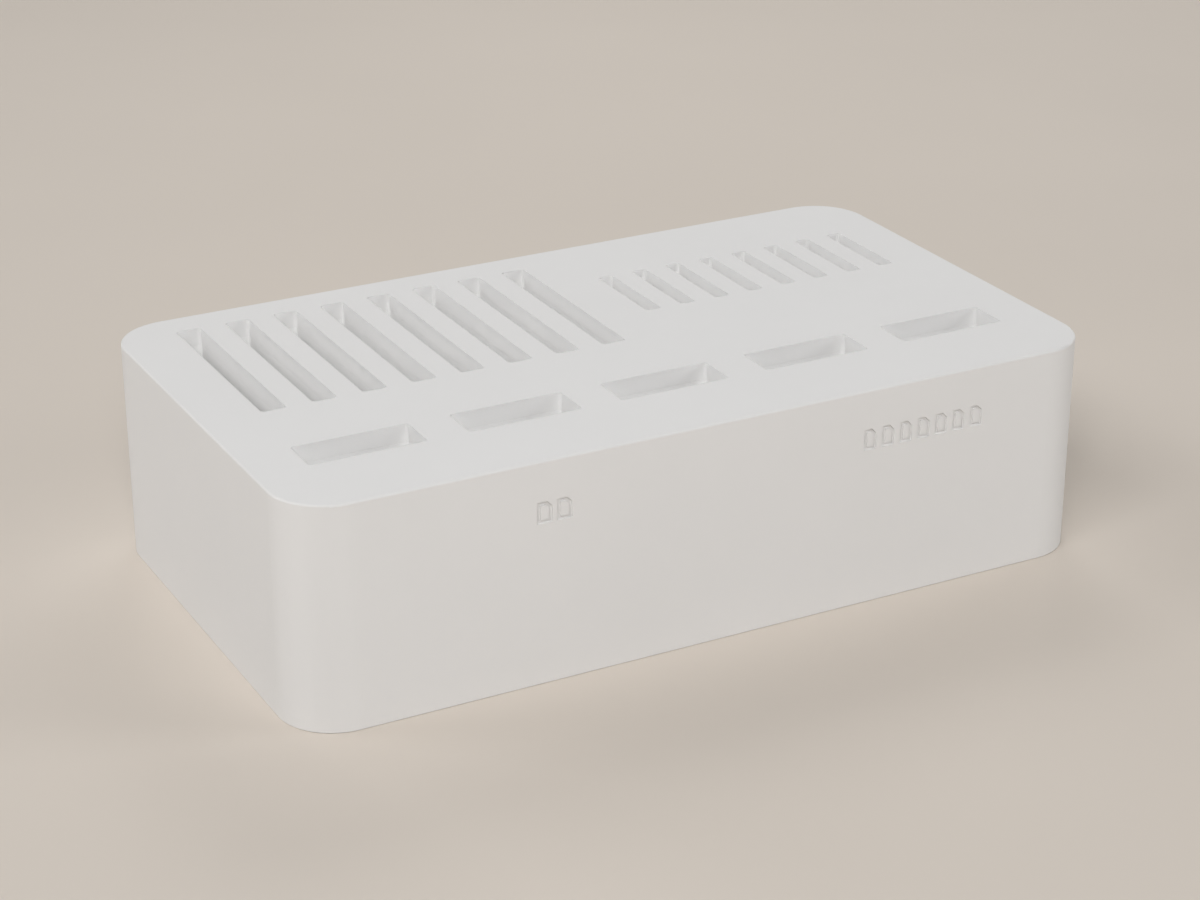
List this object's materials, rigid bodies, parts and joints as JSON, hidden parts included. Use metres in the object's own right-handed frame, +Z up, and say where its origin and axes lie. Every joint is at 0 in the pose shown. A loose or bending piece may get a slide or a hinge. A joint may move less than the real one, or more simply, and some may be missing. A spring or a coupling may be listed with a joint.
{
  "type": "memory card case",
  "caption": "Low rectangular desk case for memory cards and data sticks, with upright slots in its flat top, weighted base and rubber feet.",
  "frame": {"origin": "middle of the footprint, on the surface that the feet stand on", "axes": "+X along the long side towards the small card slots, +Y from the front (the face with the marks) to the back, +Z up"},
  "size_m": [0.095, 0.054, 0.025],
  "materials": {
    "case_plastic": "fine matt moulded white",
    "tray_elastomer": "soft matt white elastomer",
    "base_plastic": "fine matt moulded white",
    "ballast_steel": "zinc-plated steel",
    "screw_steel": "zinc-plated steel",
    "foot_rubber": "soft dark grey rubber"
  },
  "bodies": {
    "root": {"housing": "case_plastic", "large_card_tray": "tray_elastomer", "small_card_tray": "tray_elastomer", "stick_tray": "tray_elastomer", "tray_screws": "screw_steel", "ballast_plate": "ballast_steel", "base_plate": "base_plastic", "base_screws": "screw_steel", "foot_front_left": "foot_rubber", "foot_front_right": "foot_rubber", "foot_back_left": "foot_rubber", "foot_back_right": "foot_rubber"}
  },
  "joints": []
}
